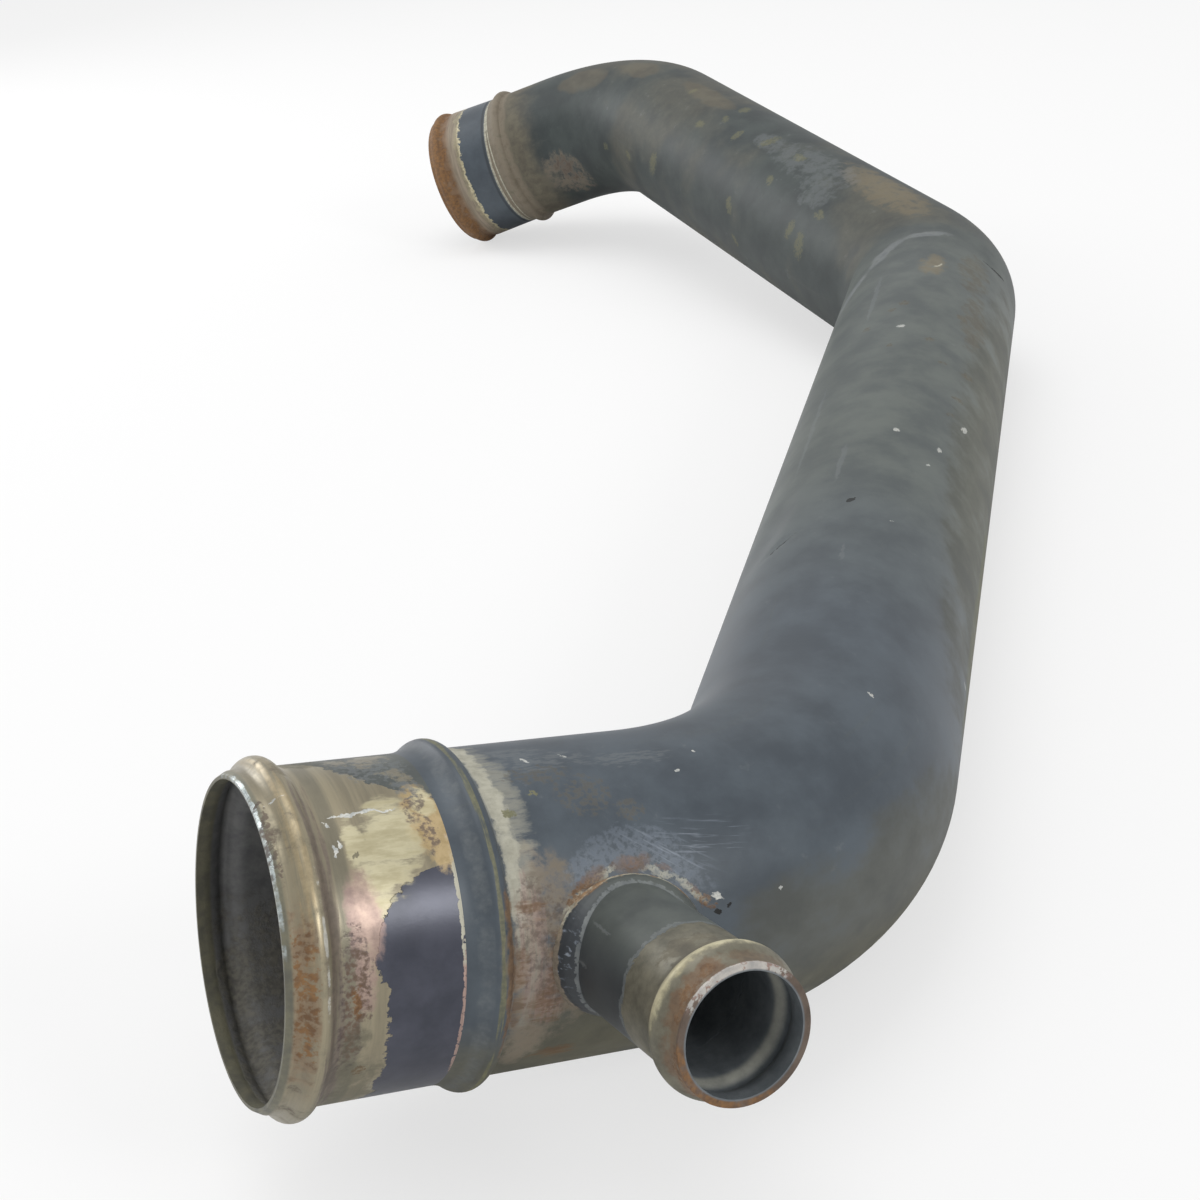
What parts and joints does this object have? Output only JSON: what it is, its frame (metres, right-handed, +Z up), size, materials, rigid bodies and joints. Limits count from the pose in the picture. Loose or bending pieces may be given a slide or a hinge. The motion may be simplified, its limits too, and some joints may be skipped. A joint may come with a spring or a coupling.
{
  "type": "coolant pipe",
  "caption": "Bent steel coolant pipe with beaded hose ends and a small beaded branch spigot welded near its front mouth.",
  "frame": {"origin": "centre of the front mouth, the hose end beside the branch spigot", "axes": "+Z up as the pipe lies at rest on a floor, +Y along the long straight leg away from the front mouth, +X to the side the front leg bends towards"},
  "size_m": [0.3019, 0.7534, 0.0896],
  "materials": {
    "main_tube": "worn satin slate-blue coating on steel, olive dust and rust at the beads",
    "branch_spigot": "worn grey-green coating on steel, khaki plating and rust at the bead",
    "branch_weld": "painted-over weld bead with rust at its toes"
  },
  "bodies": {
    "root": {"main_tube": "main_tube", "branch_spigot": "branch_spigot", "branch_weld": "branch_weld"}
  },
  "joints": []
}
